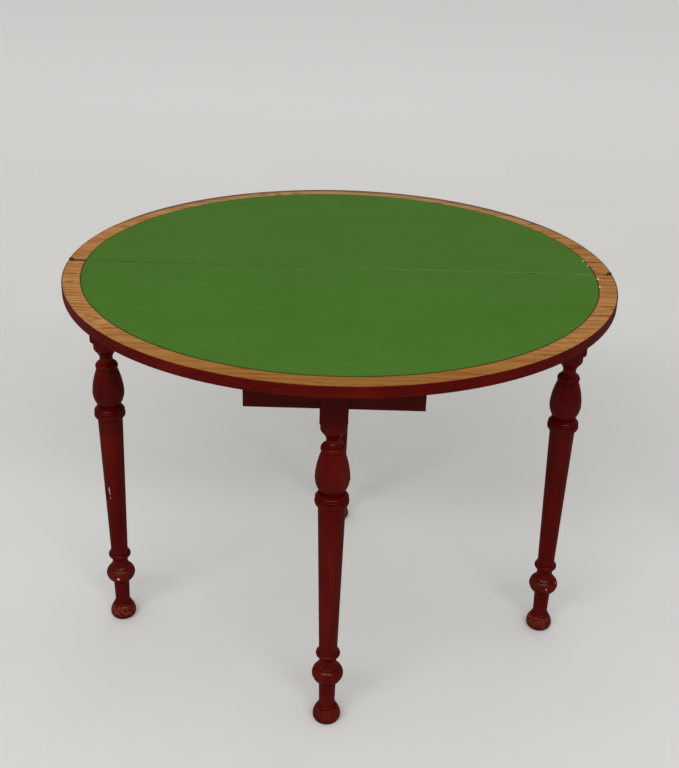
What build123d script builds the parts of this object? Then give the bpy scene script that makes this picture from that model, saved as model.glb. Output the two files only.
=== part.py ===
from build123d import *
import math
import os

# A half-round card table, shown open as a full circle.
# One half of the top is fixed to a half-round frame on three turned legs.
# The other half folds over on edge hinges, and rests on a fourth turned leg
# that draws out with a shallow drawer behind it.
# Lengths are millimetres. The origin is on the floor under the middle of the
# fold line, X runs along the fold, and the pull-out leg stands towards -Y.

# The top
top_radius = 457.0
table_height = 746.0
leaf_thickness = 18.0
leaf_edge_round = 1.6
rim_width = 29.8
baize_thickness = 1.6
baize_recess = 2.0
baize_fit = 0.3
fold_gap = 0.3
pin_rise = 0.3

# The frame
rail_depth = 112.0
rail_thickness = 20.0
rail_reveal = 3.0
frame_setback = 1.5
frieze_inset = 32.0
frieze_thickness = 20.0
tenon_thickness = 8.0
tenon_shoulder = 10.0
tenon_length = 19.6
tenon_root = 4.0
joint_fit = 0.1
guide_thickness = 22.0
guide_tenon_length = 12.0
runner_width = 16.0
bearer_width = 40.0
bearer_room = 4.0
stop_bar_width = 16.0
stop_bar_drop = 8.0
rear_room = 16.0
rear_stop_height = 50.0
glue_block_size = 18.0
glue_block_height = 84.0

# The legs
leg_square = 44.0
leg_square_length = 131.0
leg_arris = 1.2
side_leg_inset = 25.0
back_leg_inset = 33.0
back_leg_offset = 7.5

# The turning, from the square down to the floor
shoulder_height = 9.0
shoulder_radius = 19.4
disc_radius = 21.2
disc_ease = 2.0
disc_height = 10.5
disc_under_radius = 18.2
disc_under_height = 6.5
cove_height = 11.5
neck_radius = 11.6
neck_height = 6.0
bead_flare_radius = 18.0
bead_flare_height = 6.5
bead_start_radius = 17.4
bead_radius = 20.1
bead_end_radius = 17.6
bead_height = 10.5
vase_top_radius = 18.3
vase_radius = 28.3
vase_upper = 45.5
vase_lower = 28.5
vase_foot_radius = 18.2
cap_radius = 25.2
cap_height = 5.0
quirk_depth = 1.2
quirk_height = 1.0
reed_start_radius = 25.6
reed_radius = 27.3
reed_end_radius = 26.5
reed_height = 4.2
collar_start_radius = 26.7
collar_radius = 27.9
collar_height = 12.8
shaft_top_radius = 22.4
shaft_bottom_radius = 15.8
ring_flare_radius = 17.8
ring_flare_height = 7.5
ring_start_radius = 17.9
ring_radius = 20.9
ring_end_radius = 16.6
ring_height = 10.3
low_cove_height = 6.2
low_neck_radius = 14.6
low_neck_height = 7.0
lip_radius = 19.8
lip_flare_height = 9.2
bulb_top_radius = 20.8
bulb_radius = 27.2
bulb_upper = 13.8
bulb_lower = 17.5
ankle_top_radius = 14.8
ankle_bottom_radius = 13.6
ankle_height = 49.5
foot_lip_start_radius = 14.6
foot_lip_radius = 16.3
foot_lip_end_radius = 15.9
foot_lip_height = 4.0
foot_top_radius = 17.4
foot_radius = 24.4
foot_base_radius = 19.8
foot_upper = 18.5
foot_lower = 9.5
curve_middle_share = 0.5
curve_bulge_share = 0.76
curve_vase_share = 0.7
curve_hollow_share = 0.62

# The pull-out leg and its drawer, drawn out as stored
pull_leg_inset = 202.0
pull_offset = -3.0
drawer_width = 278.0
drawer_side_play = 1.5
slide_play = 0.3
top_play = 0.5
drawer_front_thickness = 20.0
drawer_front_setback = 8.0
drawer_front_arris = 0.8
front_lap = 8.0
drawer_side_thickness = 14.0
drawer_side_drop = 12.0
drawer_side_lift = 14.0
drawer_back_thickness = 12.0
drawer_back_inset = 10.0
drawer_bottom_thickness = 6.0
drawer_bottom_lift = 6.0
groove_depth = 5.0
bridle_peg_radius = 4.0
bridle_peg_cover = 3.0
bridle_peg_spacing = 22.0

# The buttons and screws that hold the top
button_length = 34.0
button_width = 24.0
button_thickness = 14.0
button_tongue = 6.0
button_drop = 0.4
screw_shank_radius = 1.8
screw_head_radius = 4.0
screw_head_height = 2.4
screw_length = 20.0
screw_bite = 10.0
screw_fit = 0.1
rail_button_share = 0.42
frieze_button_shares = (0.46, 0.83)
kicker_screw_shares = (0.2, 0.8)
stop_screw_shares = (0.2, 0.8)

# The hinges, let into the edge at both ends of the fold
hinge_layer = 3.0
hinge_layer_gap = 0.3
hinge_edge_inset = 2.4
strap_length = 40.0
strap_height = 7.5
strap_drop = 3.0
strap_fit = 0.1
eye_radius = 3.6
eye_room = 0.4
eye_clear = 0.8
pin_radius = 1.2
pin_play = 0.3
pin_press = 0.02
hinge_screw_shares = (0.35, 0.8)
hinge_screw_radius = 1.3
hinge_screw_head_radius = 2.5
hinge_screw_head_height = 1.2
hinge_screw_length = 18.0
hinge_screw_sink = 0.4

# One overrun serves every cut
overrun = 5.0

# Levels above the floor
leaf_underside = table_height - leaf_thickness
rail_bottom = leaf_underside - rail_depth
baize_floor = table_height - baize_recess
pin_level = table_height + pin_rise
tenon_bottom = rail_bottom + tenon_shoulder
tenon_top = leaf_underside - tenon_shoulder
side_bottom = rail_bottom + drawer_side_lift
side_top = leaf_underside - drawer_side_drop
runner_top = side_bottom - slide_play
kicker_bottom = side_top + top_play
bottom_level = side_bottom + drawer_bottom_lift
screw_tip = leaf_underside + screw_bite
screw_base = screw_tip - screw_length

# Places in plan
half_square = leg_square / 2
side_leg_x = top_radius - side_leg_inset - half_square
side_leg_y = frame_setback + half_square
back_leg_y = top_radius - back_leg_inset - half_square
rail_front = frame_setback + rail_reveal
rail_back = rail_front + rail_thickness
frieze_outer = top_radius - frieze_inset
frieze_inner = frieze_outer - frieze_thickness
frieze_middle = (frieze_outer + frieze_inner) / 2
baize_radius = top_radius - rim_width - baize_fit

# The drawer in plan, open, and how far it travels
pull_reach = top_radius - pull_leg_inset
pull_leg_y = -pull_reach
travel = pull_reach + side_leg_y
drawer_half = drawer_width / 2
guide_inner = drawer_half + drawer_side_play
guide_outer = guide_inner + guide_thickness
front_face = pull_leg_y - half_square + drawer_front_setback
front_rear = front_face + drawer_front_thickness
guide_reach = math.sqrt(frieze_inner**2 - (guide_inner + abs(pull_offset))**2)
rear_closed = guide_reach - rear_room
drawer_rear = rear_closed - travel
back_rear = drawer_rear - drawer_back_inset
back_front = back_rear - drawer_back_thickness
inner_half = drawer_half - drawer_side_thickness
bearer_front = side_leg_y + half_square + bearer_room
bearer_back = bearer_front + bearer_width
runner_back = guide_reach - joint_fit
kicker_front = front_rear + travel + bearer_room
stop_bar_back = back_front - slide_play
stop_bar_front = stop_bar_back - stop_bar_width

# The hinge in plan, outer layer for the fixed half, inner layer for the fly
hinge_outer_x = top_radius - hinge_edge_inset
hinge_split_x = hinge_outer_x - hinge_layer
hinge_inner_x = hinge_split_x - hinge_layer_gap - hinge_layer
strap_top = table_height - strap_drop
strap_bottom = strap_top - strap_height


def slab(x_ends, y_ends, z_ends):
    """A rectangular solid between two values along each axis."""
    spans = [max(ends) - min(ends) for ends in (x_ends, y_ends, z_ends)]
    middles = [(ends[0] + ends[1]) / 2 for ends in (x_ends, y_ends, z_ends)]
    return Pos(*middles) * Box(*spans)


def post(radius, x, y, z_ends):
    """A round solid that stands upright between two levels."""
    height = max(z_ends) - min(z_ends)
    return Pos(x, y, min(z_ends)) * Cylinder(radius, height, align=(Align.CENTER, Align.CENTER, Align.MIN))


def rod(radius, x_ends, y, z):
    """A round solid that lies along X between two places."""
    length = max(x_ends) - min(x_ends)
    return Pos(sum(x_ends) / 2, y, z) * Rot(0, 90, 0) * Cylinder(radius, length)


def peg_along_y(radius, x, y_ends, z):
    """A round solid that lies along Y between two places."""
    length = max(y_ends) - min(y_ends)
    return Pos(x, sum(y_ends) / 2, z) * Rot(90, 0, 0) * Cylinder(radius, length)


def on_pull(x):
    """An X place measured from the middle of the pull-out leg."""
    return pull_offset + x


class Outline:
    """The half outline of a turning, drawn from the top down."""

    def __init__(self, radius, level):
        self.at = (radius, level)
        self.edges = []

    def to(self, radius, drop=0):
        """A straight stretch to a radius, some way further down."""
        end = (radius, self.at[1] - drop)
        self.edges.append(Line(self.at, end))
        self.at = end

    def bow(self, middle_radius, radius, drop, share=curve_middle_share):
        """An arc through a middle radius to an end radius."""
        middle = (middle_radius, self.at[1] - drop * share)
        end = (radius, self.at[1] - drop)
        self.edges.append(ThreePointArc(self.at, middle, end))
        self.at = end

    def quirk(self, radius):
        """A narrow groove scored in, then out to what follows it."""
        self.to(self.at[0] - quirk_depth)
        self.to(self.at[0], quirk_height)
        self.to(radius)

    def solid(self):
        """The outline closed along the axis and spun about it."""
        start = self.edges[0] @ 0
        self.edges.append(Line(self.at, (0, self.at[1])))
        self.edges.append(Line((0, self.at[1]), (0, start.Y)))
        self.edges.append(Line((0, start.Y), (start.X, start.Y)))
        return revolve(Plane.XZ * make_face(self.edges), Axis.Z)


def bulge(start, peak):
    """The radius part way along a swelling that flattens at its peak."""
    return start + (peak - start) * curve_bulge_share


def hollow(start, end):
    """The radius part way along a hollow from a wide end to a narrow one."""
    return start + (end - start) * curve_hollow_share


def below_shaft():
    """The height of all that is turned between the shaft's end and the floor."""
    ring = ring_flare_height + quirk_height + ring_height
    neck = low_cove_height + low_neck_height + lip_flare_height + quirk_height
    foot = foot_lip_height + quirk_height + foot_upper + foot_lower
    return ring + neck + bulb_upper + bulb_lower + ankle_height + foot


def turned_shaft(square_bottom):
    """All of the turning under the square's shoulder, down to the floor."""
    line = Outline(shoulder_radius, square_bottom - shoulder_height)
    line.bow(bulge(shoulder_radius, disc_radius), disc_radius, disc_ease)
    line.to(disc_radius, disc_height - disc_ease)
    line.bow(bulge(disc_under_radius, disc_radius), disc_under_radius, disc_under_height)
    line.bow(hollow(disc_under_radius, neck_radius), neck_radius, cove_height)
    line.to(neck_radius, neck_height)
    line.bow(hollow(bead_flare_radius, neck_radius), bead_flare_radius, bead_flare_height)
    line.to(bead_start_radius)
    line.bow(bead_radius, bead_end_radius, bead_height)
    line.to(vase_top_radius)
    vase_middle = vase_top_radius + (vase_radius - vase_top_radius) * curve_vase_share
    line.bow(vase_middle, vase_radius, vase_upper)
    line.bow(bulge(vase_foot_radius, vase_radius), vase_foot_radius, vase_lower)
    line.bow(bulge(vase_foot_radius, cap_radius), cap_radius, cap_height)
    line.quirk(reed_start_radius)
    line.bow(reed_radius, reed_end_radius, reed_height)
    line.quirk(collar_start_radius)
    line.bow(collar_radius, shaft_top_radius, collar_height)
    line.to(shaft_bottom_radius, line.at[1] - below_shaft())
    line.bow(hollow(ring_flare_radius, shaft_bottom_radius), ring_flare_radius, ring_flare_height)
    line.quirk(ring_start_radius)
    line.bow(ring_radius, ring_end_radius, ring_height)
    line.bow(hollow(ring_end_radius, low_neck_radius), low_neck_radius, low_cove_height)
    line.to(low_neck_radius, low_neck_height)
    line.bow(hollow(lip_radius, low_neck_radius), lip_radius, lip_flare_height)
    line.quirk(bulb_top_radius)
    line.bow(bulge(bulb_top_radius, bulb_radius), bulb_radius, bulb_upper)
    line.bow(bulge(ankle_top_radius, bulb_radius), ankle_top_radius, bulb_lower)
    line.to(ankle_bottom_radius, ankle_height)
    line.to(foot_lip_start_radius)
    line.bow(foot_lip_radius, foot_lip_end_radius, foot_lip_height)
    line.quirk(foot_top_radius)
    line.bow(bulge(foot_top_radius, foot_radius), foot_radius, foot_upper)
    line.bow(bulge(foot_base_radius, foot_radius), foot_base_radius, foot_lower)
    return line.solid()


def leg_solid(top_level):
    """One leg on the Z axis: a square head, its turned shoulder and the turning."""
    square_bottom = top_level - leg_square_length
    head_ends = (-half_square, half_square)
    head = slab(head_ends, head_ends, (square_bottom - shoulder_height, top_level))
    head = fillet(head.edges().filter_by(Axis.Z), leg_arris)
    corner = half_square * math.sqrt(2)
    shoulder = Outline(corner + overrun, top_level + overrun)
    shoulder.to(corner + overrun, overrun + leg_square_length)
    shoulder.to(corner)
    shoulder.bow(bulge(shoulder_radius, corner), shoulder_radius, shoulder_height)
    return (head & shoulder.solid()) + turned_shaft(square_bottom)


def frieze_tenon_x():
    """How far out a frieze's middle meets the back face of a side leg."""
    return math.sqrt(frieze_middle**2 - (side_leg_y + half_square) ** 2)


def frieze_side_tenon(side, grow=0):
    """The tenon of a curved frieze that enters a side leg from behind."""
    middle = side * frieze_tenon_x()
    half = tenon_thickness / 2 + grow
    face = side_leg_y + half_square
    return slab(
        (middle - half, middle + half),
        (face - tenon_length - grow, face + tenon_root),
        (tenon_bottom - grow, tenon_top + grow),
    )


def back_leg_face(side):
    """The X of one side face of the back leg."""
    return back_leg_offset + side * half_square


def frieze_back_tenon(side, grow=0):
    """The tenon of a curved frieze that enters the back leg from one side."""
    face = back_leg_face(side)
    middle = math.sqrt(frieze_middle**2 - face**2)
    half = tenon_thickness / 2 + grow
    return slab(
        (face - side * (tenon_length + grow), face + side * tenon_root),
        (middle - half, middle + half),
        (tenon_bottom - grow, tenon_top + grow),
    )


def rail_leg_tenon(side, grow=0):
    """The tenon of a straight rail in a side leg."""
    middle = (rail_front + rail_back) / 2
    half = tenon_thickness / 2 + grow
    face = side_leg_x - half_square
    return slab(
        (side * (face - tenon_root), side * (face + tenon_length + grow)),
        (middle - half, middle + half),
        (tenon_bottom - grow, tenon_top + grow),
    )


def rail_guide_tenon(side, grow=0):
    """The tenon of a straight rail in a drawer guide."""
    middle = (rail_front + rail_back) / 2
    half = tenon_thickness / 2 + grow
    face = on_pull(side * guide_outer)
    return slab(
        (face + side * tenon_root, face - side * (guide_tenon_length + grow)),
        (middle - half, middle + half),
        (tenon_bottom - grow, tenon_top + grow),
    )


def bearer_tenon(side, grow=0):
    """The stub tenon of the bearer in a drawer guide."""
    face = on_pull(side * guide_inner)
    reach = guide_thickness - guide_tenon_length - joint_fit
    half = tenon_thickness / 2 + grow
    middle = (rail_bottom + runner_top) / 2
    return slab(
        (face - side * tenon_root, face + side * (reach - joint_fit + grow)),
        (bearer_front + tenon_shoulder - grow, bearer_back - tenon_shoulder + grow),
        (middle - half / 2, middle + half / 2),
    )


def button_places():
    """The inner face point and the inward direction of each top button."""
    places = []
    span = side_leg_x - half_square
    for side in (-1, 1):
        near = on_pull(side * guide_outer)
        x = near + (side * span - near) * rail_button_share
        places.append((x, rail_back, 90.0))
        leg_turn = math.asin((side_leg_y + half_square) / frieze_inner)
        guide_turn = math.acos(side * near / frieze_inner)
        for share in frieze_button_shares:
            turn = leg_turn + (guide_turn - leg_turn) * share
            x = side * frieze_inner * math.cos(turn)
            y = frieze_inner * math.sin(turn)
            places.append((x, y, math.degrees(math.atan2(-y, -x))))
    return places


def button_frame(place):
    """A frame whose X runs inward from the wood that the button is keyed to."""
    x, y, heading = place
    return Pos(x, y, 0) * Rot(0, 0, heading)


def button_tongue_block(place, grow=0):
    """The tongue of one button, or the slot that takes it."""
    half = button_width / 2 + grow
    low = leaf_underside - button_thickness - grow
    high = low + button_tongue + grow * 2
    root = frieze_inner - math.sqrt(frieze_inner**2 - half**2)
    return button_frame(place) * slab((-button_tongue - grow, root + joint_fit), (-half, half), (low, high))


def button_solid(place):
    """One wooden button with its tongue and its screw hole."""
    half = button_width / 2
    root = frieze_inner - math.sqrt(frieze_inner**2 - half**2)
    low = leaf_underside - button_thickness
    ends = (root, button_length)
    body = button_frame(place) * slab(ends, (-half, half), (low, leaf_underside - button_drop))
    return body + button_tongue_block(place) - screw_hole(*button_screw(place))


def button_screw(place):
    """Where the screw of one button stands in plan."""
    spot = button_frame(place) * Pos(button_length * curve_middle_share, 0, 0)
    return (spot.position.X, spot.position.Y)


def kicker_ends():
    """The front and the back of both kickers."""
    return (kicker_front, runner_back)


def strip_x(side):
    """The X ends of the strips beside one drawer guide."""
    return (on_pull(side * guide_inner), on_pull(side * (guide_inner - runner_width)))


def kicker_screws():
    """Where the screws of both kickers stand in plan."""
    front, back = kicker_ends()
    spots = []
    for side in (-1, 1):
        for share in kicker_screw_shares:
            spots.append((sum(strip_x(side)) / 2, front + (back - front) * share))
    return spots


def stop_bar_screws():
    """Where the screws of the stop bar stand in plan."""
    half = guide_inner - runner_width
    middle = (stop_bar_front + stop_bar_back) / 2
    return [(on_pull(-half + 2 * half * share), middle) for share in stop_screw_shares]


def top_screw_places():
    """Every screw that goes up into the fixed half of the top."""
    return [button_screw(place) for place in button_places()] + kicker_screws() + stop_bar_screws()


def top_screw(x, y):
    """One wood screw, head down, with its tip in the top."""
    head = post(screw_head_radius, x, y, (screw_base, screw_base + screw_head_height))
    return head + post(screw_shank_radius, x, y, (screw_base, screw_tip))


def screw_hole(x, y):
    """The counterbore and the clearance hole for one top screw."""
    wide = screw_head_radius + screw_fit
    bore = post(wide, x, y, (rail_bottom, screw_base + screw_head_height + screw_fit))
    return bore + post(screw_shank_radius + screw_fit, x, y, (rail_bottom, screw_tip + screw_fit))


def full_top():
    """The round top before it is divided, with the recess for the baize."""
    disc = post(top_radius, 0, 0, (leaf_underside, table_height))
    disc = fillet(disc.edges().filter_by(GeomType.CIRCLE), leaf_edge_round)
    recess = post(top_radius - rim_width, 0, 0, (baize_floor, table_height + overrun))
    return disc - recess


def half_space(direction):
    """The half of the plan on one side of the fold, one fold gap clear of it."""
    reach = top_radius + overrun
    return slab(
        (-reach, reach),
        (direction * fold_gap, direction * reach),
        (leaf_underside - overrun, table_height + overrun),
    )


def hinge_cut(side, direction):
    """The recess in one end of a leaf that takes its strap and both eyes."""
    inner = hinge_inner_x - hinge_layer_gap
    outer = top_radius + overrun
    long_end = strap_length + strap_fit
    strap = slab(
        (side * inner, side * outer),
        (0, direction * long_end),
        (strap_bottom - strap_fit, strap_top + strap_fit),
    )
    mouth = slab(
        (side * inner, side * outer),
        (0, direction * (eye_radius + eye_room)),
        (strap_bottom - strap_fit, table_height + overrun),
    )
    cut = strap + mouth
    for _, y, ends in hinge_screw_places(side, direction):
        cut += rod(hinge_screw_radius + screw_fit, ends, y, (strap_top + strap_bottom) / 2)
    return cut


def hinge_screw_places(side, direction):
    """The head's outer X, the Y and the X ends of each screw of a strap."""
    places = []
    for share in hinge_screw_shares:
        y = direction * strap_length * share
        edge = math.sqrt(top_radius**2 - y**2) - strap_fit - hinge_screw_sink
        places.append((side * edge, y, (side * edge, side * (edge - hinge_screw_length))))
    return places


def leaf(direction):
    """One half of the top."""
    wood = full_top() & half_space(direction)
    for side in (-1, 1):
        wood -= hinge_cut(side, direction)
    return wood


def baize(direction):
    """One half of the cloth, laid in its recess."""
    cloth = post(baize_radius, 0, 0, (baize_floor, baize_floor + baize_thickness))
    return cloth & half_space(direction)


def hinge_strap(side, direction):
    """One strap with its eye: outer layer on the fixed half, inner on the fly."""
    outer_layer = (hinge_split_x, hinge_outer_x)
    inner_layer = (hinge_inner_x, hinge_inner_x + hinge_layer)
    own = [side * x for x in (outer_layer if direction > 0 else inner_layer)]
    whole = (side * hinge_inner_x, side * (top_radius + overrun))
    start = eye_radius + eye_clear
    body = slab(whole, (direction * start, direction * strap_length), (strap_bottom, strap_top))
    neck_ends = (direction * fold_gap * 2, direction * (start + strap_fit))
    neck = slab(own, neck_ends, (strap_bottom, strap_top))
    riser_ends = (direction * fold_gap * 2, direction * eye_radius)
    riser = slab(own, riser_ends, (strap_bottom, pin_level))
    eye = rod(eye_radius, own, 0, pin_level)
    strap = body + neck + riser + eye
    hole = pin_radius + (pin_press if direction > 0 else pin_play)
    strap -= rod(hole, (side * (hinge_inner_x - overrun), side * (top_radius + overrun)), 0, pin_level)
    strap = strap & post(top_radius - strap_fit, 0, 0, (strap_bottom, pin_level + eye_radius))
    middle = (strap_top + strap_bottom) / 2
    for edge, y, ends in hinge_screw_places(side, direction):
        strap -= rod(hinge_screw_radius + screw_fit, ends, y, middle)
        head_ends = (edge + side * overrun, edge - side * (hinge_screw_head_height + screw_fit))
        strap -= rod(hinge_screw_head_radius + screw_fit, head_ends, y, middle)
    return strap


def hinge_pin(side):
    """The pin through both eyes of one hinge."""
    return rod(pin_radius, (side * hinge_inner_x, side * hinge_outer_x), 0, pin_level)


def hinge_screws(direction):
    """The four small screws of the straps on one leaf."""
    screws = []
    middle = (strap_top + strap_bottom) / 2
    for side in (-1, 1):
        for edge, y, ends in hinge_screw_places(side, direction):
            head_ends = (edge, edge - side * hinge_screw_head_height)
            head = rod(hinge_screw_head_radius, head_ends, y, middle)
            screws.append(head + rod(hinge_screw_radius, ends, y, middle))
    return Compound(children=screws)


def fixed_leaf():
    """The half of the top that is screwed to the frame."""
    wood = leaf(1)
    hole_ends = (leaf_underside - overrun, screw_tip + screw_fit)
    for x, y in top_screw_places():
        wood -= post(screw_shank_radius + screw_fit, x, y, hole_ends)
    return wood


def side_leg(side):
    """A leg at one end of the fold, mortised for its rail and its frieze."""
    leg = Pos(side * side_leg_x, side_leg_y, 0) * leg_solid(leaf_underside)
    return leg - rail_leg_tenon(side, joint_fit) - frieze_side_tenon(side, joint_fit)


def back_leg():
    """The leg at the middle of the curve, mortised for both friezes."""
    leg = Pos(back_leg_offset, back_leg_y, 0) * leg_solid(leaf_underside)
    return leg - frieze_back_tenon(-1, joint_fit) - frieze_back_tenon(1, joint_fit)


def frieze(side):
    """A quarter of the curved frieze, from a side leg to the back leg."""
    levels = (rail_bottom, leaf_underside)
    ring = post(frieze_outer, 0, 0, levels) - post(frieze_inner, 0, 0, levels)
    keep = slab(
        (back_leg_face(side), side * top_radius),
        (side_leg_y + half_square, top_radius),
        levels,
    )
    wood = (ring & keep) + frieze_side_tenon(side) + frieze_back_tenon(side)
    for place in button_places():
        wood -= button_tongue_block(place, joint_fit)
    return wood


def straight_rail(side):
    """The straight rail from a side leg to the drawer guide."""
    face = on_pull(side * guide_outer)
    ends = (face, side * (side_leg_x - half_square))
    board = slab(ends, (rail_front, rail_back), (rail_bottom, leaf_underside))
    wood = board + rail_leg_tenon(side) + rail_guide_tenon(side)
    for place in button_places():
        wood -= button_tongue_block(place, joint_fit)
    return wood


def guide(side):
    """The board beside the drawer, from the straight rail to the curved frieze."""
    levels = (rail_bottom, leaf_underside)
    ends = (on_pull(side * guide_inner), on_pull(side * guide_outer))
    board = slab(ends, (rail_front, top_radius), levels)
    board = board & post(frieze_inner - joint_fit, 0, 0, levels)
    return board - rail_guide_tenon(side, joint_fit) - bearer_tenon(side, joint_fit)


def bearer():
    """The flat rail between the guides that the drawer slides on at its mouth."""
    ends = (on_pull(-guide_inner + joint_fit), on_pull(guide_inner - joint_fit))
    board = slab(ends, (bearer_front, bearer_back), (rail_bottom, runner_top))
    return board + bearer_tenon(-1) + bearer_tenon(1)


def runner(side):
    """The strip that carries one side of the drawer behind the bearer."""
    strip = slab(strip_x(side), (bearer_back, top_radius), (rail_bottom, runner_top))
    return strip & post(frieze_inner - joint_fit, 0, 0, (rail_bottom, runner_top))


def kicker(side):
    """The strip over one side of the drawer that keeps it from tipping."""
    strip = slab(strip_x(side), kicker_ends(), (kicker_bottom, leaf_underside))
    strip = strip & post(frieze_inner - joint_fit, 0, 0, (kicker_bottom, leaf_underside))
    for x, y in kicker_screws():
        strip -= screw_hole(x, y)
    return strip


def stop_bar():
    """The bar under the top that the drawer's back meets when it is drawn out."""
    half = guide_inner - runner_width - joint_fit
    levels = (side_top - stop_bar_drop, leaf_underside)
    bar = slab((on_pull(-half), on_pull(half)), (stop_bar_front, stop_bar_back), levels)
    for x, y in stop_bar_screws():
        bar -= screw_hole(x, y)
    return bar


def rear_stops():
    """Two blocks on the guides that the drawer meets when it is pushed in."""
    levels = (runner_top + joint_fit, runner_top + joint_fit + rear_stop_height)
    blocks = []
    for side in (-1, 1):
        block = slab(strip_x(side), (rear_closed + slide_play, top_radius), levels)
        blocks.append(block & post(frieze_inner - joint_fit, 0, 0, levels))
    return Compound(children=blocks)


def corner_wedge(x, y, x_way, y_way):
    """A three-sided glue block that fills one inside corner."""
    points = [(x, y), (x + x_way * glue_block_size, y), (x, y + y_way * glue_block_size)]
    face = make_face(Polyline(*points, close=True))
    bottom = (rail_bottom + leaf_underside - glue_block_height) / 2
    return Pos(0, 0, bottom) * extrude(face, glue_block_height, dir=(0, 0, 1))


def glue_blocks():
    """The blocks in the corners of the frame."""
    leg_face = side_leg_x - half_square
    behind = rail_back + joint_fit
    blocks = []
    for side in (-1, 1):
        blocks.append(corner_wedge(side * (leg_face - joint_fit), behind, -side, 1))
        blocks.append(corner_wedge(on_pull(side * (guide_outer + joint_fit)), behind, side, 1))
        side_of_back = back_leg_face(side) + side * joint_fit
        levels = (rail_bottom + tenon_shoulder, rail_bottom + tenon_shoulder + glue_block_height)
        inner = slab(
            (side_of_back, side_of_back + side * glue_block_size),
            (back_leg_y - half_square, top_radius),
            levels,
        )
        blocks.append(inner & post(frieze_inner - joint_fit, 0, 0, levels))
    return Compound(children=blocks)


def top_buttons():
    """The wooden buttons that hold the top to the rails and the friezes."""
    return Compound(children=[button_solid(place) for place in button_places()])


def top_screws():
    """The screws through the buttons, the kickers and the stop bar."""
    return Compound(children=[top_screw(x, y) for x, y in top_screw_places()])


def pull_x_ends(half):
    """Both ends of something that lies across the pull-out leg."""
    return (on_pull(-half), on_pull(half))


def front_ends(grow=0):
    """The front and the rear face of the drawer front."""
    return (front_face - grow, front_rear + grow)


def bridle_pegs(grow=0):
    """The pegs that hold the leg astride the drawer front."""
    middle = (rail_bottom + leaf_underside) / 2
    leg_front_face = pull_leg_y - half_square
    ends = (leg_front_face + bridle_peg_cover - grow, pull_leg_y + half_square)
    radius = bridle_peg_radius + grow
    levels = (middle - bridle_peg_spacing, middle + bridle_peg_spacing)
    return Compound(children=[peg_along_y(radius, pull_offset, ends, level) for level in levels])


def pull_leg():
    """The leg that draws out, slotted to sit astride the drawer front."""
    leg = Pos(pull_offset, pull_leg_y, 0) * leg_solid(leaf_underside - top_play)
    slot = slab(pull_x_ends(leg_square), front_ends(joint_fit), (rail_bottom - joint_fit, table_height))
    leg -= slot
    for peg in bridle_pegs(joint_fit).children:
        leg -= peg
    return leg


def drawer_side(side, grow=0):
    """One side of the drawer, before its grooves are cut."""
    return slab(
        (on_pull(side * drawer_half), on_pull(side * (inner_half - grow))),
        (front_face + front_lap - grow, drawer_rear),
        (side_bottom - grow, side_top + grow),
    )


def drawer_front():
    """The rail that shows on both sides of the pull-out leg."""
    board = slab(pull_x_ends(drawer_half), front_ends(), (rail_bottom, leaf_underside - top_play))
    face_edges = board.faces().sort_by(Axis.Y)[0].edges()
    board = chamfer(face_edges, drawer_front_arris)
    for side in (-1, 1):
        board -= drawer_side(side, joint_fit)
    board -= bottom_panel(joint_fit)
    for peg in bridle_pegs(joint_fit).children:
        board -= peg
    return board


def back_panel(grow=0):
    """The back of the drawer, between the sides and over the bottom."""
    return slab(
        pull_x_ends(inner_half + groove_depth - joint_fit + grow),
        (back_front - grow, back_rear + grow),
        (bottom_level + drawer_bottom_thickness + joint_fit, side_top + grow),
    )


def bottom_panel(grow=0):
    """The bottom of the drawer, in grooves in the front and the sides."""
    return slab(
        pull_x_ends(inner_half + groove_depth - joint_fit + grow),
        (front_rear - groove_depth + joint_fit - grow, back_rear + grow),
        (bottom_level - grow, bottom_level + drawer_bottom_thickness + grow),
    )


def grooved_side(side):
    """One side of the drawer with its grooves."""
    groove = slab(
        pull_x_ends(inner_half + groove_depth),
        (front_face, drawer_rear + overrun),
        (bottom_level - joint_fit, bottom_level + drawer_bottom_thickness + joint_fit),
    )
    housing = slab(
        pull_x_ends(inner_half + groove_depth),
        (back_front - joint_fit, back_rear + joint_fit),
        (bottom_level, side_top + overrun),
    )
    return drawer_side(side) - groove - housing


def drawer_bottom():
    """The bottom of the drawer, notched round the back of the leg."""
    cheek = half_square + joint_fit
    notch = slab(pull_x_ends(cheek), (pull_leg_y, pull_leg_y + cheek), (rail_bottom, leaf_underside))
    return bottom_panel() - notch


def nodes():
    """Every piece of the table under the name of its file."""
    pieces = {
        "fixed_leaf": fixed_leaf(),
        "fly_leaf": leaf(-1),
        "fixed_baize": baize(1),
        "fly_baize": baize(-1),
        "leg_back": back_leg(),
        "bearer_rail": bearer(),
        "stop_bar": stop_bar(),
        "rear_stops": rear_stops(),
        "glue_blocks": glue_blocks(),
        "top_buttons": top_buttons(),
        "top_screws": top_screws(),
        "hinge_pins": Compound(children=[hinge_pin(-1), hinge_pin(1)]),
        "hinge_screws_fixed": hinge_screws(1),
        "hinge_screws_fly": hinge_screws(-1),
        "pull_leg": pull_leg(),
        "bridle_pegs": bridle_pegs(),
        "drawer_front": drawer_front(),
        "drawer_back": back_panel(),
        "drawer_bottom": drawer_bottom(),
    }
    for side, word in ((-1, "left"), (1, "right")):
        pieces["leg_" + word] = side_leg(side)
        pieces["frieze_" + word] = frieze(side)
        pieces["rail_" + word] = straight_rail(side)
        pieces["guide_" + word] = guide(side)
        pieces["runner_" + word] = runner(side)
        pieces["kicker_" + word] = kicker(side)
        pieces["hinge_fixed_" + word] = hinge_strap(side, 1)
        pieces["hinge_fly_" + word] = hinge_strap(side, -1)
        pieces["drawer_side_" + word] = grooved_side(side)
    return pieces


os.makedirs("parts", exist_ok=True)
for name, piece in nodes().items():
    export_step(piece, "parts/" + name + ".step")
print("leg travel", round(travel, 2))
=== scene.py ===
import bpy
import bmesh
import math
from mathutils import Matrix, Vector


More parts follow.
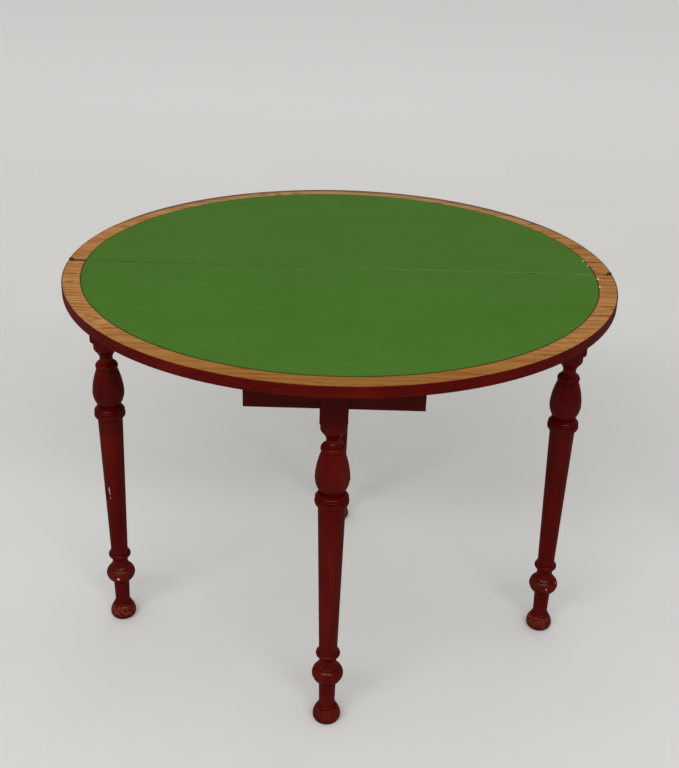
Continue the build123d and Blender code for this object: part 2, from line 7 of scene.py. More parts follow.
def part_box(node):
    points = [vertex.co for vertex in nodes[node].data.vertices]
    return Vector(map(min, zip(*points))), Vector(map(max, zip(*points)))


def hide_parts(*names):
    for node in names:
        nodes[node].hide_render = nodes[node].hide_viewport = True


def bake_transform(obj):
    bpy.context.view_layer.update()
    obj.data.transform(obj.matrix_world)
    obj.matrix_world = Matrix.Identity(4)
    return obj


# The looks of the folding card table. Metres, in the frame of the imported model:
# the floor is z = 0, the fold line is y = 0 and the pull-out leg stands towards -y.

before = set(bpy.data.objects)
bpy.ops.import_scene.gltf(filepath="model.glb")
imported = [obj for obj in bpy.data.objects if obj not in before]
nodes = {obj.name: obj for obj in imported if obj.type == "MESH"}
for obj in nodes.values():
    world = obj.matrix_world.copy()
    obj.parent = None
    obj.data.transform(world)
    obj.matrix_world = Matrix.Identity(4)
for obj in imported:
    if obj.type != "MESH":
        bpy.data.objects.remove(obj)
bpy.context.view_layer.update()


def mid(node, axis):
    """The middle of a node's box along one axis."""
    low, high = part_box(node)
    return (low[axis] + high[axis]) / 2


leaf_low, leaf_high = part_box("fly_leaf")
cloth_low, cloth_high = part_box("fly_baize")
top_radius = leaf_high.x
top_level = leaf_high.z
underside = leaf_low.z
cloth_radius = cloth_high.x
cloth_top = cloth_high.z
cloth_bottom = cloth_low.z
frame_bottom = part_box("frieze_left")[0].z
rim_start = cloth_radius + 0.0003


# Shader building

class Value:
    """A number that varies over a surface. Sums, products and so on add nodes."""

    def __init__(self, tree, socket):
        self.tree = tree
        self.socket = socket

    def math(self, kind, *others):
        node = self.tree.nodes.new("ShaderNodeMath")
        node.operation = kind
        self.tree.links.new(self.socket, node.inputs[0])
        for slot, other in enumerate(others, 1):
            if isinstance(other, Value):
                self.tree.links.new(other.socket, node.inputs[slot])
            else:
                node.inputs[slot].default_value = other
        return Value(self.tree, node.outputs[0])

    def __add__(self, other):
        return self.math("ADD", other)

    def __sub__(self, other):
        return self.math("SUBTRACT", other)

    def __mul__(self, other):
        return self.math("MULTIPLY", other)

    def __truediv__(self, other):
        return self.math("DIVIDE", other)

    def root(self):
        return self.math("SQRT")

    def size(self):
        return self.math("ABSOLUTE")

    def other(self):
        """One minus the value."""
        return (self * -1.0) + 1.0

    def or_(self, other):
        return self.math("MAXIMUM", other)

    def rise(self, low, high):
        """0 below low, 1 above high, smooth between."""
        node = self.tree.nodes.new("ShaderNodeMapRange")
        node.interpolation_type = "SMOOTHSTEP"
        self.tree.links.new(self.socket, node.inputs["Value"])
        for name, value in (("From Min", low), ("From Max", high)):
            node.inputs[name].default_value = value
        return Value(self.tree, node.outputs["Result"])

    def fall(self, low, high):
        """1 below low, 0 above high, smooth between."""
        return self.rise(low, high).other()


class Paint:
    """One material: its coordinates, its noises and its shader."""

    def __init__(self, name, grain="x"):
        self.material = bpy.data.materials.new(name)
        self.material.use_nodes = True
        self.tree = self.material.node_tree
        self.shader = self.tree.nodes["Principled BSDF"]
        place = self.tree.nodes.new("ShaderNodeTexCoord").outputs["Object"]
        self.x, self.y, self.z = self.split(place)
        self.radius = (self.x * self.x + self.y * self.y).root()
        if grain == "x":
            self.place = self.join(self.x, self.y, self.z)
        elif grain == "y":
            self.place = self.join(self.y, self.x, self.z)
        elif grain == "z":
            self.place = self.join(self.z, self.x, self.y)
        else:
            self.place = self.join(self.y.math("ARCTAN2", self.x) * 0.42, self.radius, self.z)

    def split(self, vector):
        node = self.tree.nodes.new("ShaderNodeSeparateXYZ")
        self.tree.links.new(vector, node.inputs[0])
        return [Value(self.tree, out) for out in node.outputs]

    def join(self, *values):
        node = self.tree.nodes.new("ShaderNodeCombineXYZ")
        for slot, value in enumerate(values):
            self.tree.links.new(value.socket, node.inputs[slot])
        return node.outputs[0]

    def noise(self, across, along=None, detail=3.0, rough=0.5, shift=0.0, place=None):
        """Noise whose features are so wide across the grain and so long along it."""
        mapping = self.tree.nodes.new("ShaderNodeMapping")
        mapping.inputs["Location"].default_value = (shift, shift * 0.7, shift * 1.3)
        mapping.inputs["Scale"].default_value = (1 / (along or across), 1 / across, 1 / across)
        self.tree.links.new(place or self.place, mapping.inputs["Vector"])
        node = self.tree.nodes.new("ShaderNodeTexNoise")
        node.inputs["Scale"].default_value = 1.0
        node.inputs["Detail"].default_value = detail
        node.inputs["Roughness"].default_value = rough
        self.tree.links.new(mapping.outputs[0], node.inputs["Vector"])
        return Value(self.tree, node.outputs[0])

    def mix(self, share, one, two, kind="MIX"):
        """One colour where share is 0, the other where it is 1."""
        node = self.tree.nodes.new("ShaderNodeMix")
        node.data_type = "RGBA"
        node.blend_type = kind
        for slot, value in ((0, share), (6, one), (7, two)):
            if isinstance(value, Value):
                self.tree.links.new(value.socket, node.inputs[slot])
            elif isinstance(value, bpy.types.NodeSocket):
                self.tree.links.new(value, node.inputs[slot])
            elif slot == 0:
                node.inputs[slot].default_value = value
            else:
                node.inputs[slot].default_value = (*value, 1.0)
        return node.outputs[2]

    def spot(self, centre, reach, wobble=None):
        """1 in a small egg-shaped patch, 0 outside it."""
        total = None
        for value, place, size in zip((self.x, self.y, self.z), centre, reach):
            part = (value - place) / size
            total = part * part if total is None else total + part * part
        if wobble is not None:
            total = total + wobble
        return total.fall(0.7, 1.3)

    def marks(self, places, level, depth, wobble=None):
        """1 in any of several flat marks on a level face, 0 elsewhere."""
        total = None
        for (x, y), (reach_x, reach_y) in places:
            mark = self.spot((x, y, level), (reach_x, reach_y, depth), wobble)
            total = mark if total is None else total.or_(mark)
        return total

    def finish(self, colour, roughness, height=None, depth=0.0001, **plain):
        """Joins the colour, roughness and relief to the shader and sets its plain sockets."""
        self.tree.links.new(colour, self.shader.inputs["Base Color"])
        if isinstance(roughness, Value):
            self.tree.links.new(roughness.socket, self.shader.inputs["Roughness"])
        else:
            self.shader.inputs["Roughness"].default_value = roughness
        if height is not None:
            bump = self.tree.nodes.new("ShaderNodeBump")
            bump.inputs["Strength"].default_value = 1.0
            bump.inputs["Distance"].default_value = depth
            self.tree.links.new(height.socket, bump.inputs["Height"])
            self.tree.links.new(bump.outputs[0], self.shader.inputs["Normal"])
        for name, value in plain.items():
            self.shader.inputs[name.replace("_", " ")].default_value = value
        return self.material


# Colours, written as linear light

stain_dark = (0.043, 0.0008, 0.0004)
stain_mid = (0.082, 0.0016, 0.0007)
stain_light = (0.116, 0.0062, 0.0026)
# pale worn stain: real wear on the leaf's arris, and also a painted highlight on the feet
stain_wear_and_highlight = (0.235, 0.062, 0.034)
chip_pale = (0.80, 0.48, 0.44)
oak_light = (0.465, 0.222, 0.070)
oak_mid = (0.390, 0.168, 0.047)
oak_dark = (0.200, 0.068, 0.015)
oak_pore = (0.095, 0.033, 0.010)
oak_front = (0.248, 0.103, 0.0156)
# paler grey for a painted reflection on the back of the rim
oak_painted_sheen = (0.360, 0.240, 0.115)
# dark: dirt in the rim's checks, painted shade beside the cloth, and the darker bottom of the feet
dirt_and_shade = (0.024, 0.012, 0.005)
bare_light = (0.47, 0.31, 0.165)
bare_dark = (0.31, 0.185, 0.090)
baize_light = (0.072, 0.172, 0.0260)
baize_mid = (0.0580, 0.1490, 0.0185)
baize_dark = (0.0490, 0.1290, 0.0155)
bare_pore = (0.20, 0.115, 0.055)
bare_old = (0.24, 0.145, 0.075)
oak_stained = (0.095, 0.034, 0.020)
fold_dark = (0.060, 0.022, 0.009)
glue_pale = (0.64, 0.62, 0.44)
crease_dark = (0.026, 0.075, 0.010)
crease_pale = (0.125, 0.240, 0.062)
nick_dark = (0.024, 0.070, 0.010)
edge_shade = (0.019, 0.034, 0.006)
# painted shade for the cloth's cut edge
edge_pale = (0.56, 0.55, 0.36)
brass_brown = (0.070, 0.034, 0.014)
brass_dark = (0.020, 0.009, 0.005)
brass_rubbed = (0.30, 0.18, 0.070)
steel_dull = (0.34, 0.32, 0.30)
steel_rust = (0.115, 0.048, 0.022)
steel_rubbed = (0.50, 0.48, 0.46)
# painted shade inside a screw slot
slot_shade = (0.012, 0.010, 0.009)
floor_near = (0.690, 0.682, 0.664)
floor_patch = (0.720, 0.712, 0.694)
floor_lit = (0.590, 0.583, 0.570)
floor_far = (0.940, 0.933, 0.916)
floor_unseen = (0.48, 0.474, 0.462)

# Sizes of the wood's figure, and the marks that the photograph shows: each has its place
# and its reach, and a chip also has the share of it that shows

plank_width = 0.128
rings_per_metre = 92.0
foot_crown = 0.019
foot_knob = 0.106
nick_place = 0.3205
rim_checks = (
    ((0.4335, 0.0575), (0.0075, 0.0022)),
    ((-0.4320, -0.1010), (0.0080, 0.0016)),
    ((-0.4340, -0.0650), (0.0070, 0.0013)),
    ((0.4300, -0.1560), (0.0080, 0.0018)),
    ((0.4480, -0.0030), (0.0085, 0.0024)),
)
glue_specks = (
    ((0.4284, -0.0218), (0.0018, 0.0048)),
    ((0.4239, -0.0591), (0.0015, 0.0068)),
)
lifted_edges = (
    ((0.4243, 0.0430), (0.0024, 0.00672)),
    ((0.4200, 0.0676), (0.0022, 0.00616)),
    ((0.4265, -0.0217), (0.0012, 0.00336)),
    ((0.4235, -0.0591), (0.0012, 0.00336)),
    ((0.4262, -0.0410), (0.0009, 0.00252)),
)
left_chips = (
    ((-0.4174, 0.0063, 0.2945), (0.0010, 0.0060, 0.0052), 0.65),
    ((-0.4164, 0.0058, 0.2868), (0.0008, 0.0060, 0.0040), 0.50),
    ((-0.4159, 0.0058, 0.2765), (0.0007, 0.0060, 0.0026), 0.40),
    ((-0.4102, -0.0010, 0.0996), (0.0021, 0.0060, 0.0023), 1.0),
)
right_chips = (
    ((0.4297, 0.0091, 0.1150), (0.0016, 0.0040, 0.0018), 0.6),
    ((0.4318, 0.0091, 0.1105), (0.0016, 0.0040, 0.0020), 0.7),
    ((0.4119, 0.0008, 0.1030), (0.0017, 0.0060, 0.0018), 0.6),
)


def stain_layers(paint, shift=0.0):
    """The colour, roughness and relief of the red-brown stain."""
    streak = paint.noise(0.0032, 0.070, detail=4.0, rough=0.6, shift=shift)
    fine = paint.noise(0.0006, 0.016, detail=2.0, shift=shift + 3.0)
    cloudy = paint.noise(0.055, 0.110, detail=2.0, shift=shift + 5.0)
    colour = paint.mix(streak.rise(0.28, 0.72), stain_dark, stain_mid)
    colour = paint.mix(cloudy.rise(0.42, 0.85) * 0.55, colour, stain_light)
    colour = paint.mix(fine.rise(0.60, 0.76) * 0.35, colour, stain_dark)
    roughness = streak * 0.10 + fine * 0.06 + 0.17
    height = fine * 0.35 + streak * 0.65
    return colour, roughness, height


def stained(name, grain, bare=None, scuff_and_highlight_share=0.0, chips=(), shift=0.0):
    """Red-brown stained wood, with bare wood where the maker left it so."""
    paint = Paint(name, grain)
    colour, roughness, height = stain_layers(paint, shift)
    if scuff_and_highlight_share:
        # Pale patches round the foot's crown and the bulb: partly real scuffs, partly a painted highlight
        # on these upward-facing turnings.
        patches = paint.noise(0.0060, detail=5.0, rough=0.7, shift=9.0)
        crown = (paint.z - foot_crown).size().fall(0.004, 0.015)
        knob = (paint.z - foot_knob).size().fall(0.006, 0.016) * 0.35
        scuff_and_highlight = patches.rise(0.40, 0.64) * crown.or_(knob) * scuff_and_highlight_share
        colour = paint.mix(scuff_and_highlight, colour, stain_wear_and_highlight)
        # The lowest few millimetres of the foot are darker, towards the floor.
        foot_bottom_dark = paint.z.fall(0.0015, 0.007) * 0.7
        colour = paint.mix(foot_bottom_dark, colour, dirt_and_shade)
        roughness = roughness + scuff_and_highlight * 0.30
    wobble = paint.noise(0.0016, detail=3.0, shift=2.0) * 1.6 - 0.8
    for centre, reach, share in chips:
        chip = paint.spot(centre, reach, wobble) * share
        colour = paint.mix(chip, colour, chip_pale)
        height = height - chip * 1.5
    if bare is not None:
        share = bare(paint)
        inner, dull, relief = bare_layers(paint)
        colour = paint.mix(share, colour, inner)
        roughness = roughness + (dull - roughness) * share
        height = height + (relief - height) * share
    return paint.finish(
        colour, roughness, height, 0.00006,
        Specular_IOR_Level=0.0, Coat_Weight=0.12, Coat_Roughness=0.17,
    )


def bare_layers(paint, shift=0.0):
    """The colour, roughness and relief of unfinished wood, darkened by age."""
    rings = paint.noise(0.0050, 0.160, detail=3.0, rough=0.55, shift=shift)
    fine = paint.noise(0.0008, 0.020, detail=2.0, shift=shift + 4.0)
    old = paint.noise(0.080, 0.160, detail=2.0, shift=shift + 7.0)
    colour = paint.mix(rings.rise(0.30, 0.70), bare_light, bare_dark)
    colour = paint.mix(fine.rise(0.58, 0.75) * 0.4, colour, bare_pore)
    colour = paint.mix(old.rise(0.45, 0.80) * 0.30, colour, bare_old)
    return colour, fine * 0.15 + 0.62, fine * 0.5 + rings * 0.5


def bare_wood(name, grain, shift=0.0):
    """Unfinished inner wood."""
    paint = Paint(name, grain)
    colour, roughness, height = bare_layers(paint, shift)
    return paint.finish(colour, roughness, height, 0.00015, Specular_IOR_Level=0.25)


def oak_layers(paint, shift, middle):
    """The colour, roughness and relief of varnished oak with its grain along x."""
    drift = paint.noise(0.070, 0.300, detail=2.0, shift=shift)
    wander = paint.noise(0.012, 0.090, detail=3.0, shift=shift + 2.0)
    plank = (paint.y - middle) / plank_width + 0.5
    index = plank.math("FLOOR")
    across = (plank - index - 0.5) * plank_width
    start = (index * 2.4).math("SINE") * 0.30 - 0.455
    lift = (paint.x - start).rise(0.0, 0.15) * 0.040 + (drift - 0.5) * 0.030
    rings = (across * across + lift * lift).root() * rings_per_metre + wander * 1.6
    part = rings - rings.math("FLOOR")
    line = part.fall(0.10, 0.60) * part.rise(0.0, 0.05)
    streaks = paint.noise(0.0038, 0.036, detail=4.0, rough=0.6, shift=shift + 8.0)
    pores = paint.noise(0.0022, 0.016, detail=3.0, rough=0.6, shift=shift + 5.0)
    tone = paint.noise(0.030, 0.160, detail=3.0, shift=shift + 1.0)
    colour = paint.mix(tone.rise(0.32, 0.68), oak_mid, oak_light)
    # Darker and more orange towards the front and a little towards the right. The grain shows less there.
    toward_front = paint.y.fall(-0.455, -0.22) * 0.80
    colour = paint.mix(toward_front.or_(paint.x.rise(0.25, 0.46) * 0.30), colour, oak_front)
    # Towards the back the rim is painted paler and greyer, a painted reflection of the pale surroundings
    # seen at a grazing angle. The short streaks fade there too.
    far = paint.y.rise(0.18, 0.40)
    colour = paint.mix(far * 0.65, colour, oak_painted_sheen)
    colour = paint.mix(line * streaks.rise(0.30, 0.60) * 0.80, colour, oak_dark)
    short = streaks.rise(0.52, 0.64) * (line * 0.40 + 0.50)
    colour = paint.mix(short * (far * -0.6 + 1.0) * (toward_front * -0.9 + 1.0), colour, oak_dark)
    dark = pores.rise(0.58, 0.70) * (line * 0.50 + 0.30) * (toward_front * -0.9 + 1.0)
    colour = paint.mix(dark, colour, oak_pore)
    roughness = pores * 0.16 + 0.36
    return colour, roughness, dark * -0.8 + short * -0.2


def leaf_material(name, direction, shift, middle):
    """A leaf of the top: oak face, stained edge and underside."""
    paint = Paint(name, "x")
    oak, oak_rough, oak_height = oak_layers(paint, shift, middle)
    stain, stain_rough, stain_height = stain_layers(paint, shift)
    waver = paint.noise(0.006, detail=3.0, shift=shift + 6.0) * 0.0012 - 0.0006
    reach = paint.radius + waver
    face = paint.z.rise(top_level - 0.0007, top_level - 0.0003)
    lap = paint.y.rise(-0.20, 0.12) * 0.0010 + 0.0008
    inside = (reach + lap).fall(top_radius - 0.0006, top_radius)
    oak_here = face * inside

    # painted shade on the oak beside the cloth towards the front, where the recess shades it; a dark joint
    # at the fold; smudges, dirty checks and stain bled in along the outer arris
    recess_shade = reach.fall(rim_start + 0.0006, rim_start + 0.0017) * paint.y.fall(0.02, 0.20) * 0.85
    fold_width = paint.x.rise(-top_radius * 0.2, top_radius * 0.6) * -0.0030 + 0.0056
    fold = ((paint.y + 0.0010).size() / fold_width).fall(0.35, 1.1)
    fold = fold * (paint.x.fall(-0.2, 0.2) * 0.45 + 0.50)
    old = paint.noise(0.011, 0.020, detail=4.0, rough=0.65, shift=shift + 4.0)
    smudge = old.rise(0.60, 0.78) * 0.22
    oak = paint.mix(smudge, oak, oak_dark)
    depth = paint.y.rise(0.10, 0.38) * 0.0130 + 0.0030
    bleed = ((reach - top_radius) / depth + 1.0).rise(0.0, 0.6)
    sides = paint.x.size().rise(0.30, 0.43).or_(paint.y.rise(0.0, 0.25))
    oak = paint.mix(bleed * sides * 0.78, oak, oak_stained)
    oak = paint.mix(paint.marks(rim_checks, top_level, 0.01) * 0.8, oak, dirt_and_shade)
    # painted shade beside the cloth
    oak = paint.mix(recess_shade * 0.5, oak, dirt_and_shade)
    oak = paint.mix(fold, oak, fold_dark)
    if direction < 0:
        glue = paint.marks(glue_specks, top_level, 0.01)
        oak = paint.mix(glue * 0.65, oak, glue_pale)
    colour = paint.mix(oak_here, stain, oak)

    # the edge is rubbed through in places along its lower arris
    rub = paint.noise(0.010, detail=4.0, rough=0.65, shift=shift + 8.0).rise(0.60, 0.75)
    arris = paint.z.fall(underside + 0.0006, underside + 0.0022)
    arris = arris * paint.radius.rise(top_radius - 0.004, top_radius)
    colour = paint.mix(rub * arris * 0.35, colour, stain_wear_and_highlight)
    roughness = stain_rough + (oak_rough - stain_rough) * oak_here
    height = stain_height + (oak_height - stain_height) * oak_here
    if direction > 0:
        # the underside is bare inside the frame
        guide_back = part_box("guide_left")[1].y
        rail_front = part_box("rail_left")[0].y
        below = paint.z.fall(underside + 0.0003, underside + 0.0008)
        hidden = below * paint.radius.fall(guide_back + 0.030, guide_back + 0.045)
        hidden = hidden * paint.y.rise(rail_front, rail_front + 0.002)
        inner, dull, relief = bare_layers(paint, shift)
        colour = paint.mix(hidden, colour, inner)
        roughness = roughness + (dull - roughness) * hidden
    return paint.finish(
        colour, roughness, height, 0.00010,
        Specular_IOR_Level=0.0, Coat_Weight=0.10, Coat_Roughness=0.26,
    )


def baize_material():
    """Green wool baize: felted fibres over a fine weave, a little dusty."""
    paint = Paint("baize", "x")
    fibre = paint.noise(0.0007, 0.0012, detail=4.0, rough=0.7)
    thread_x = paint.noise(0.0008, 0.030, detail=2.0, shift=3.0)
    crosswise = paint.join(paint.y, paint.x, paint.z)
    thread_y = paint.noise(0.0008, 0.030, detail=2.0, shift=5.0, place=crosswise)
    pile = paint.noise(0.014, 0.018, detail=4.0, rough=0.6, shift=1.0)
    cloud = paint.noise(0.120, 0.160, detail=3.0, shift=2.0)
    weave = (thread_x + thread_y) * 0.5
    colour = paint.mix(pile.rise(0.20, 0.80) * 0.6 + 0.3, baize_dark, baize_mid)
    colour = paint.mix(cloud.rise(0.35, 0.75) * 0.30, colour, baize_light)
    colour = paint.mix(fibre.rise(0.35, 0.75) * 0.30, colour, baize_light)
    colour = paint.mix(weave.rise(0.50, 0.62) * 0.28, colour, baize_dark)
    wear = paint.noise(0.0070, 0.110, detail=4.0, rough=0.6, shift=11.0)
    colour = paint.mix(wear.rise(0.50, 0.66) * 0.35, colour, baize_dark)

    # the crease over the fold: dark at the left, rubbed pale at the right
    near = (paint.y - paint.noise(0.060, detail=2.0, shift=4.0) * 0.0016 + 0.0008).size()
    broken = paint.noise(0.024, 0.030, detail=4.0, rough=0.7, shift=6.0)
    dark = near.fall(0.0006, 0.0020) * paint.x.fall(-0.10, 0.20) * broken.rise(0.32, 0.60)
    colour = paint.mix(dark * 0.80, colour, crease_dark)
    pale = (near - 0.0012).size().fall(0.0004, 0.0016) * paint.x.rise(-0.16, 0.12) * broken.rise(0.30, 0.55)
    colour = paint.mix(pale * 0.40, colour, crease_pale)
    nick = paint.spot((nick_place, -0.0034, cloth_top), (0.0100, 0.0024, 0.01), broken * 0.8 - 0.4)
    colour = paint.mix(nick * 0.85, colour, nick_dark)

    # painted shade along the cloth's cut edge, wider and darker towards the front where the recess shades
    # it; pale where the edge has lifted
    width = paint.y.fall(-0.42, -0.15) * 0.0026 + 0.0015
    ragged = paint.noise(0.009, detail=4.0, rough=0.7, shift=8.0) * 0.0022 - 0.0011
    edge = ((paint.radius - cloth_radius + ragged) / width + 1.0).rise(0.0, 0.35)
    colour = paint.mix(edge * (paint.y.fall(-0.06, 0.10) * 0.78 + 0.08), colour, edge_shade)
    lifted = paint.marks(lifted_edges, cloth_top, 0.02, broken * 1.2 - 0.6)
    colour = paint.mix(lifted * 0.60, colour, edge_pale)
    height = fibre * 0.6 + weave * 0.4
    return paint.finish(
        colour, 0.92, height, 0.00030,
        Specular_IOR_Level=0.04, Sheen_Weight=0.02, Sheen_Roughness=0.45, Sheen_Tint=(0.6, 1.0, 0.4, 1.0),
    )


def brass_material():
    """Old brass, brown in its hollows and rubbed bright where hands reach it."""
    paint = Paint("hinge_brass", "x")
    tarnish = paint.noise(0.0026, detail=5.0, rough=0.65)
    scratch = paint.noise(0.0003, 0.0060, detail=2.0, shift=3.0)
    colour = paint.mix(tarnish.rise(0.30, 0.62), brass_brown, brass_dark)
    colour = paint.mix(scratch.rise(0.58, 0.72) * 0.18, colour, brass_rubbed)
    roughness = tarnish * 0.30 + 0.50
    return paint.finish(colour, roughness, scratch, 0.00003, Metallic=0.30, Specular_IOR_Level=0.20)


def steel_material(slot_level=None):
    """Dull screw steel with a little rust; where a level is given, a slot cut in as relief, with painted
    shade in it.
    """
    paint = Paint("screw_steel" if slot_level is None else "screw_steel_slotted", "x")
    rust = paint.noise(0.0021, detail=5.0, rough=0.7, shift=1.0)
    scratch = paint.noise(0.00035, 0.0040, detail=2.0, shift=3.0)
    colour = paint.mix(rust.rise(0.52, 0.68), steel_dull, steel_rust)
    colour = paint.mix(scratch.rise(0.58, 0.70) * 0.3, colour, steel_rubbed)
    height = scratch
    if slot_level is not None:
        # the slot's dark colour is painted shade
        slot = (paint.z - slot_level).size().fall(0.00028, 0.00040)
        colour = paint.mix(slot, colour, slot_shade)
        height = height - slot * 12.0
    return paint.finish(colour, rust * 0.35 + 0.28, height, 0.00004, Metallic=0.8)


def floor_material():
    """A plain floor: pale where it is seen, darker for the light it throws on the object."""
    paint = Paint("pale_floor", "x")
    patch = paint.noise(0.60, detail=3.0)
    colour = paint.mix(patch.rise(0.3, 0.7), floor_near, floor_patch)
    # darker under the lamp and paler far from it, so that it looks evenly lit
    colour = paint.mix(paint.y.fall(-2.6, -0.6), colour, floor_lit)
    away = paint.y.rise(0.3, 5.5).or_(paint.y.fall(-7.5, -4.2))
    colour = paint.mix(away, colour, floor_far)
    path = paint.tree.nodes.new("ShaderNodeLightPath")
    seen = Value(paint.tree, path.outputs["Is Camera Ray"])
    for way in ("Is Glossy Ray", "Is Transmission Ray"):
        seen = seen.or_(Value(paint.tree, path.outputs[way]))
    colour = paint.mix(seen, floor_unseen, colour)
    return paint.finish(colour, 0.85, Specular_IOR_Level=0.1)


def dress(material, *names):
    """Gives a material to CAD nodes."""
    for name in names:
        mesh = nodes[name].data
        mesh.materials.clear()
        mesh.materials.append(material)


# The stained pieces, bare where the maker left them so

def above_edge(paint):
    """0 on the lower edge of the frame's boards, which is stained, and 1 above it."""
    return paint.z.rise(frame_bottom + 0.0002, frame_bottom + 0.0007)


def frieze_bare(paint):
    """The inner face and the joints of a curved frieze."""
    outer = -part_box("frieze_left")[0].x
    return paint.radius.fall(outer - 0.0010, outer - 0.0004) * above_edge(paint)


def rail_bare(paint):
    """The inner face of a straight rail."""
    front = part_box("rail_left")[0].y
    return paint.y.rise(front + 0.0003, front + 0.0009) * above_edge(paint)


def front_bare(paint):
    """The inner face of the drawer front."""
    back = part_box("drawer_front")[1].y
    return paint.y.rise(back - 0.0008, back - 0.0003) * above_edge(paint)


def guide_bare(paint):
    """All of a drawer guide but its front end, where the stain runs in beside the drawer."""
    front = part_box("guide_left")[0].y
    ragged = paint.noise(0.008, detail=3.0, shift=4.0) * 0.006 - 0.003
    return (paint.y + ragged).rise(front + 0.017, front + 0.020)


dress(stained("stain_leg_left", "z", scuff_and_highlight_share=0.55, chips=left_chips, shift=1.0), "leg_left")
dress(stained("stain_leg_right", "z", scuff_and_highlight_share=0.30, chips=right_chips, shift=2.0), "leg_right")
dress(stained("stain_leg_back", "z", scuff_and_highlight_share=0.30, shift=3.0), "leg_back")
dress(stained("stain_pull_leg", "z", scuff_and_highlight_share=0.10, shift=4.0), "pull_leg")
dress(stained("stain_frieze", "round", bare=frieze_bare, shift=5.0), "frieze_left", "frieze_right")
dress(stained("stain_rail", "x", bare=rail_bare, shift=6.0), "rail_left", "rail_right")
dress(stained("stain_drawer_front", "x", bare=front_bare, shift=7.0), "drawer_front")
dress(leaf_material("fixed_leaf_wood", 1, 2.0, 0.030), "fixed_leaf")
dress(leaf_material("fly_leaf_wood", -1, 6.0, -0.250), "fly_leaf")
dress(
    bare_wood("inner_wood_x", "x", 1.0),
    "bearer_rail", "stop_bar", "drawer_back", "drawer_bottom", "top_buttons",
)
dress(stained("stain_guide", "y", bare=guide_bare, shift=8.0), "guide_left", "guide_right")
dress(
    bare_wood("inner_wood_y", "y", 4.0),
    "runner_left", "runner_right", "kicker_left", "kicker_right",
    "drawer_side_left", "drawer_side_right", "rear_stops", "bridle_pegs",
)
dress(bare_wood("inner_wood_z", "z", 8.0), "glue_blocks")
dress(
    brass_material(),
    "hinge_fixed_left", "hinge_fixed_right", "hinge_fly_left", "hinge_fly_right", "hinge_pins",
)
dress(steel_material(), "top_screws")
dress(steel_material(mid("hinge_screws_fixed", 2)), "hinge_screws_fixed", "hinge_screws_fly")


# The cloth: one sheet over both leaves, creased where it folds

def edge_loss(turn):
    """How far the cut edge falls short of its circle at an angle."""
    ripple = math.sin(turn * 23.0 + 1.1) + math.sin(turn * 41.0 + 0.4) + math.sin(turn * 67.0 + 2.2)
    ragged = math.exp(-(((turn - 0.22) / 0.20) ** 2)) * max(0.0, math.sin(turn * 88.0) - 0.25) * 0.0014
    return 0.00008 + 0.00004 * ripple + ragged


def crease_height(x):
    """The height of the crease: a hollow at the left and a ridge at the right."""
    slope = (1 + math.tanh((x + 0.02) / 0.10)) / 2
    ripple = math.sin(x * 47.0) * 0.5 + math.sin(x * 103.0 + 1.0) * 0.3 + math.sin(x * 211.0) * 0.2
    height = -0.00034 + 0.00060 * slope + 0.00009 * ripple
    nick = math.exp(-(((x - nick_place) / 0.010) ** 2))
    return height * (1 - nick) - 0.0005 * nick


def cloth_sheet():
    """The sheet as a closed thin solid, finer at its edge and at the fold."""
    spokes = 288
    step = 0.0045
    fold_cuts = (0.0, 0.0002, 0.0005, 0.0008, 0.0012, 0.0017, 0.0024, 0.0036, 0.0055)
    radii = [step * (i + 1) for i in range(int((cloth_radius - 0.002) / step))]
    rings = [(r, cloth_top) for r in radii]
    rings += [(cloth_radius - 0.0009, cloth_top), (cloth_radius - 0.0005, cloth_top - 0.00008)]
    rings += [(cloth_radius - 0.0002, cloth_top - 0.00025), (cloth_radius, cloth_top - 0.0006)]
    rings += [(cloth_radius, cloth_bottom + 0.0003), (cloth_radius - 0.0003, cloth_bottom)]
    rings += [(r, cloth_bottom) for r in radii[::-5]]
    mesh = bmesh.new()
    layers = []
    for radius, level in rings:
        layer = []
        for i in range(spokes):
            turn = math.tau * i / spokes
            reach = radius - (edge_loss(turn) if radius > cloth_radius - 0.0025 else 0.0)
            layer.append(mesh.verts.new((reach * math.cos(turn), reach * math.sin(turn), level)))
        layers.append(layer)
    for inner, outer in zip(layers, layers[1:]):
        for i in range(spokes):
            j = (i + 1) % spokes
            mesh.faces.new((inner[i], outer[i], outer[j], inner[j]))
    for layer, level, flip in ((layers[0], cloth_top, False), (layers[-1], cloth_bottom, True)):
        centre = mesh.verts.new((0.0, 0.0, level))
        for i in range(spokes):
            corner = (centre, layer[i], layer[(i + 1) % spokes])
            mesh.faces.new(corner[::-1] if flip else corner)
    for y in fold_cuts:
        for side in {y, -y}:
            bmesh.ops.bisect_plane(
                mesh, geom=mesh.verts[:] + mesh.edges[:] + mesh.faces[:],
                dist=1e-7, plane_co=(0, side, 0), plane_no=(0, 1, 0),
            )
    for vert in mesh.verts:
        x, y, z = vert.co
        if z > cloth_top - 0.0001 and abs(y) < 0.006:
            near = math.exp(-((y / 0.0014) ** 2))
            vert.co.z = z + crease_height(x) * near
    bmesh.ops.recalc_face_normals(mesh, faces=mesh.faces[:])
    data = bpy.data.meshes.new("cloth")
    mesh.to_mesh(data)
    mesh.free()
    for face in data.polygons:
        face.use_smooth = True
    sheet = bpy.data.objects.new("cloth", data)
    bpy.context.scene.collection.objects.link(sheet)
    data.materials.append(baize_material())
    return sheet


cloth = cloth_sheet()
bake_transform(cloth)
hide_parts("fixed_baize", "fly_baize")


# Floor, light and camera

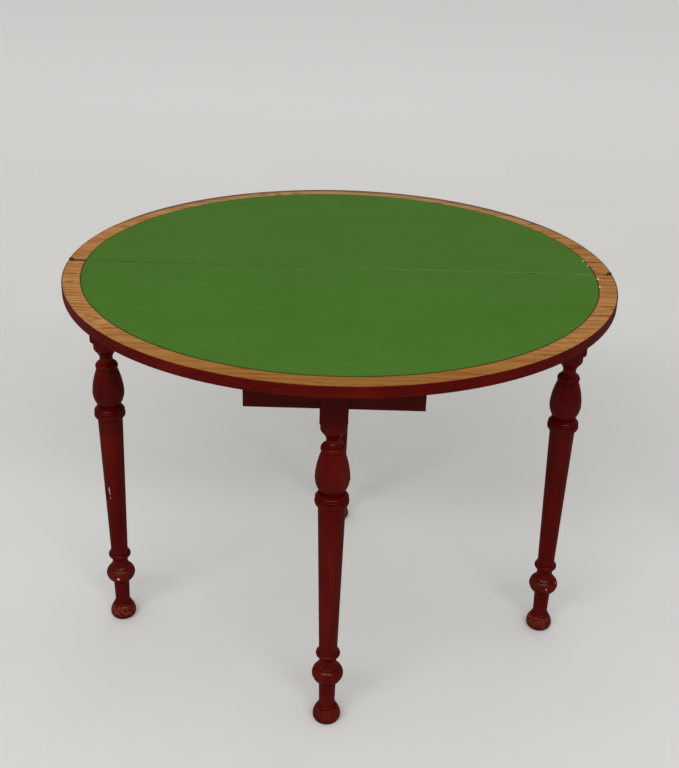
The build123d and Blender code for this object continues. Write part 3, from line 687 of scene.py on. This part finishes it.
floor_reach = 20
corners = [(x * floor_reach, y * floor_reach, 0) for x, y in ((-1, -1), (1, -1), (1, 1), (-1, 1))]
floor_data = bpy.data.meshes.new("floor")
floor_data.from_pydata(corners, [], [(0, 1, 2, 3)])
floor = bpy.data.objects.new("floor", floor_data)
floor.location.z = -0.0003
bpy.context.scene.collection.objects.link(floor)
floor_data.materials.append(floor_material())

world = bpy.data.worlds.new("studio")
bpy.context.scene.world = world
world.use_nodes = True
background = world.node_tree.nodes["Background"]
background.inputs["Color"].default_value = (1.0, 0.995, 0.985, 1.0)
background.inputs["Strength"].default_value = 0.60


def soft_lamp(name, place, target, width, height, power):
    """A wide soft lamp that looks at a point."""
    data = bpy.data.lights.new(name, "AREA")
    data.shape = "RECTANGLE"
    data.size = width
    data.size_y = height
    data.energy = power
    lamp = bpy.data.objects.new(name, data)
    lamp.location = place
    lamp.rotation_euler = (Vector(target) - Vector(place)).to_track_quat("-Z", "Y").to_euler()
    bpy.context.scene.collection.objects.link(lamp)


soft_lamp("key", (-0.45, -4.4, 4.0), (0.0, 0.0, 0.5), width=8.0, height=0.55, power=264.0)

# The camera stands where the photograph was taken from. Its place is in radii of the top,
# from the middle of the top, as it was solved from the top's circles and the legs.
photo_radius = 0.457
photo_level = 0.746
camera_place = Vector((0.0087, -3.9773, 1.4511)) * photo_radius + Vector((0, 0, photo_level))
pitch = math.radians(25.856)
roll = math.radians(-1.594)
focal_pixels = 1147.0
photo_height = 768.0
ahead = Vector((0, math.cos(pitch), -math.sin(pitch)))
down = Vector((0, -math.sin(pitch), -math.cos(pitch)))
right = Vector((1, 0, 0)) * math.cos(roll) + down * math.sin(roll)
below = Vector((-1, 0, 0)) * math.sin(roll) + down * math.cos(roll)
camera_data = bpy.data.cameras.new("camera")
camera_data.sensor_width = 36.0
camera_data.lens = focal_pixels / photo_height * camera_data.sensor_width
camera_data.clip_start = 0.05
camera = bpy.data.objects.new("camera", camera_data)
turned = Matrix((right, -below, -ahead)).transposed().to_4x4()
camera.matrix_world = Matrix.Translation(camera_place) @ turned
bpy.context.scene.collection.objects.link(camera)
bpy.context.scene.camera = camera

bpy.context.scene.view_settings.view_transform = "Standard"
